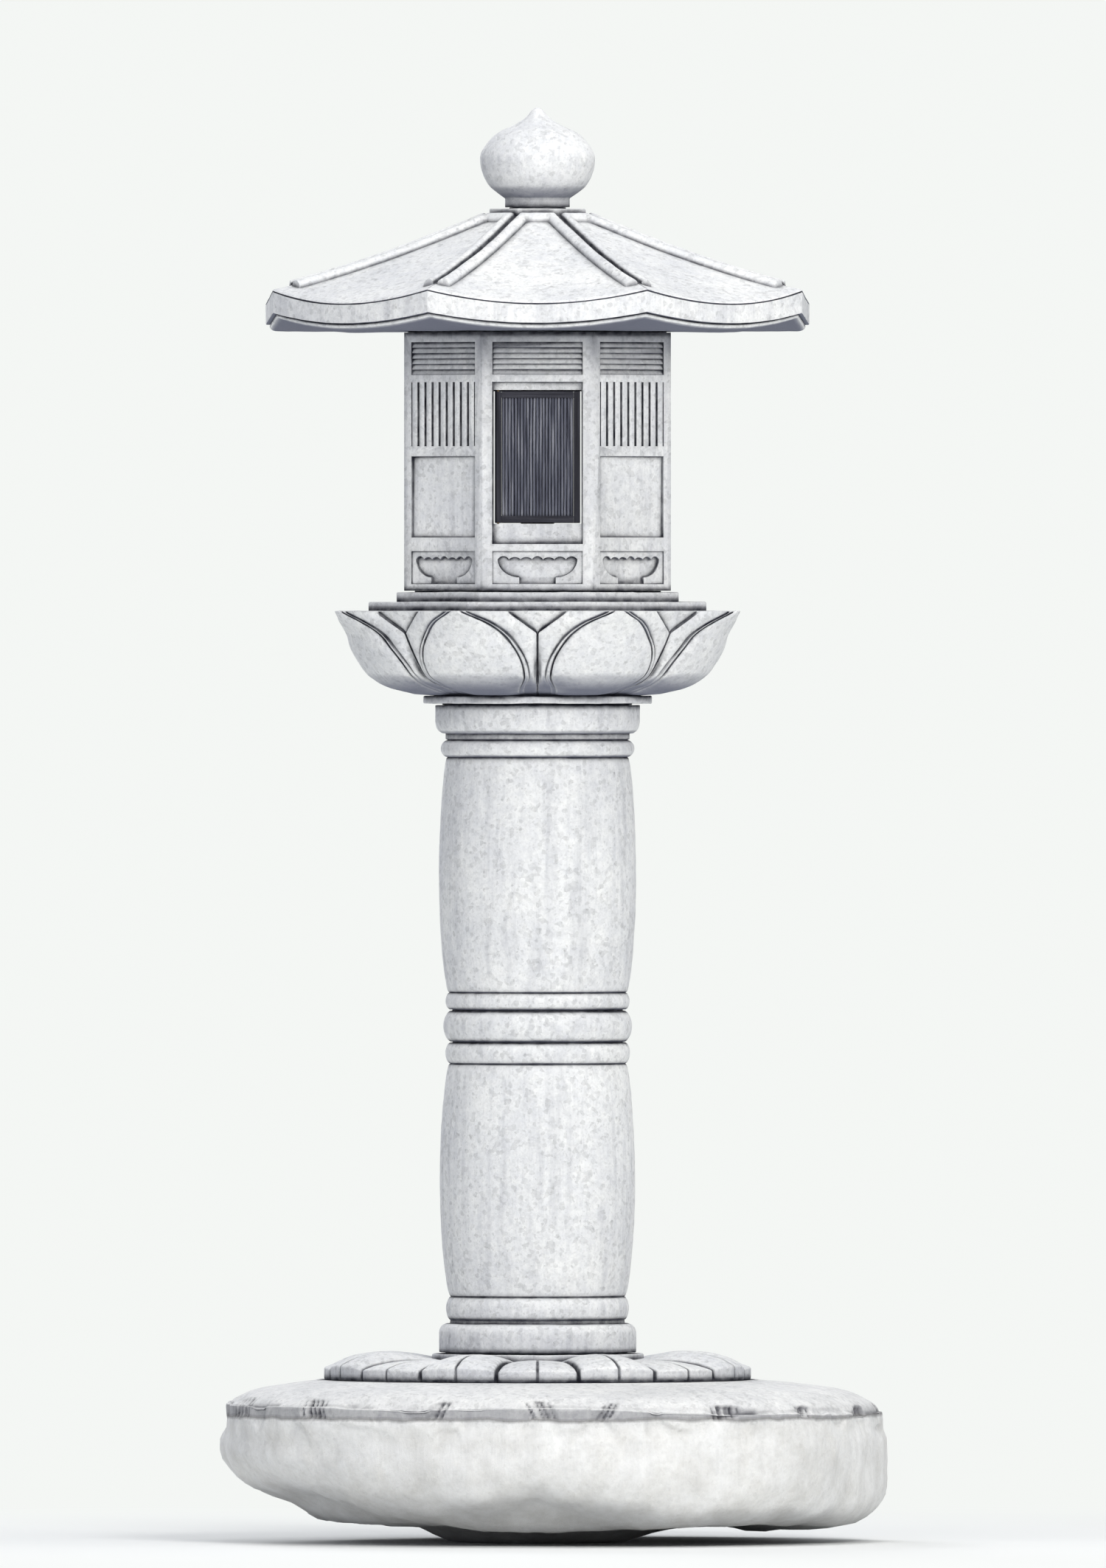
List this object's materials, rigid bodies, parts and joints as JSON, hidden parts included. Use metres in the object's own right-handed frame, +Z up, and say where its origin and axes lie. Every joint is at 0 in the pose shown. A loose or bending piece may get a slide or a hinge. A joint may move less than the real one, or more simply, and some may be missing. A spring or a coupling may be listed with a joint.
{
  "type": "stone lantern",
  "caption": "Tall garden stone lantern: lotus base on a rough boulder, ringed shaft, lotus platform, octagonal fire chamber with lattice windows, bowed-eave roof and onion jewel.",
  "frame": {"origin": "on the shaft's axis, at the flat bedding face under the foundation stone; ground level is 236 mm above it", "axes": "+Z up along the shaft's axis, -Y out of the front window with the hinged leaf, +X to the right seen from the front"},
  "size_m": [1.2209, 1.2019, 2.66],
  "materials": {
    "granite": "fine-tooled pale granite, weathered, with grime in the recesses",
    "field_stone": "rough natural boulder, soil-stained below ground",
    "lead": "dull grey oxidised sheet lead",
    "dark_wood": "weathered, nearly black",
    "bronze": "brown patina",
    "iron": "oiled, slightly rusted",
    "glazed_clay": "thin ash glaze",
    "cotton": "twisted cotton cord, charred tip"
  },
  "bodies": {
    "stand": {"foundation_stone": "field_stone", "lotus_base": "granite", "shaft_foot_bedding": "lead", "shaft": "granite", "shaft_head_bedding": "lead", "lotus_platform": "granite", "chamber_bedding": "lead", "fire_chamber": "granite", "roof_bedding": "lead", "right_screen_left_stile": "dark_wood", "right_screen_right_stile": "dark_wood", "right_screen_head_rail": "dark_wood", "right_screen_bottom_rail": "dark_wood", "right_screen_lattice": "dark_wood", "back_screen_left_stile": "dark_wood", "back_screen_right_stile": "dark_wood", "back_screen_head_rail": "dark_wood", "back_screen_bottom_rail": "dark_wood", "back_screen_lattice": "dark_wood", "left_screen_left_stile": "dark_wood", "left_screen_right_stile": "dark_wood", "left_screen_head_rail": "dark_wood", "left_screen_bottom_rail": "dark_wood", "left_screen_lattice": "dark_wood", "lamp_stand": "iron", "oil_dish": "glazed_clay", "wick": "cotton"},
    "roof": {"roof": "granite", "jewel_bedding": "lead"},
    "jewel": {"jewel": "granite"},
    "front_leaf": {"front_leaf_hinge_stile": "dark_wood", "front_leaf_latch_stile": "dark_wood", "front_leaf_head_rail": "dark_wood", "front_leaf_bottom_rail": "dark_wood", "front_leaf_lattice": "dark_wood", "front_leaf_lower_pivot": "bronze", "front_leaf_upper_pivot": "bronze"}
  },
  "joints": [
    {"name": "front_leaf_hinge", "type": "hinge", "parent": "stand", "child": "front_leaf", "pos_m": [-0.073, -0.228, 2.01125], "axis": [0, 0, -1], "range_deg": [0, 95]},
    {"name": "roof_lift", "type": "slide", "parent": "stand", "child": "roof", "axis": [0, 0, 1], "range_m": [0, 0.15]},
    {"name": "jewel_lift", "type": "slide", "parent": "roof", "child": "jewel", "axis": [0, 0, 1], "range_m": [0, 0.08]}
  ]
}
